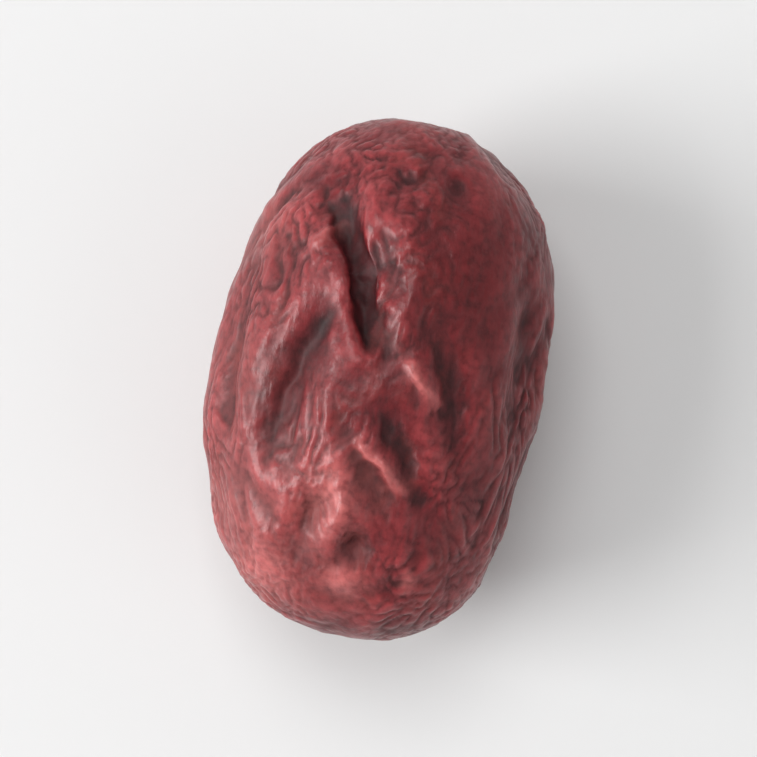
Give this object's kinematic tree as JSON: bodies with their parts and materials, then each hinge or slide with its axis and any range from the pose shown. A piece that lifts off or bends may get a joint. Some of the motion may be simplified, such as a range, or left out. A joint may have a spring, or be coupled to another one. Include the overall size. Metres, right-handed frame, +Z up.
{
  "type": "dried jujube",
  "caption": "Dried jujube (red date): oblong drupe with wrinkled, furrowed skin and a short stalk stub in its stem cavity, lying on its side on a small flat spot.",
  "frame": {"origin": "under the middle of the fruit, on the surface it rests on", "axes": "+Z up; +Y along the fruit from its tip to its stem end; +X across it"},
  "size_m": [0.0234, 0.036, 0.0215],
  "materials": {
    "skin": "waxy wrinkled fruit skin, satin",
    "stalk": "dry bark, matt"
  },
  "bodies": {
    "root": {"fruit": "skin", "stalk": "stalk"}
  },
  "joints": []
}
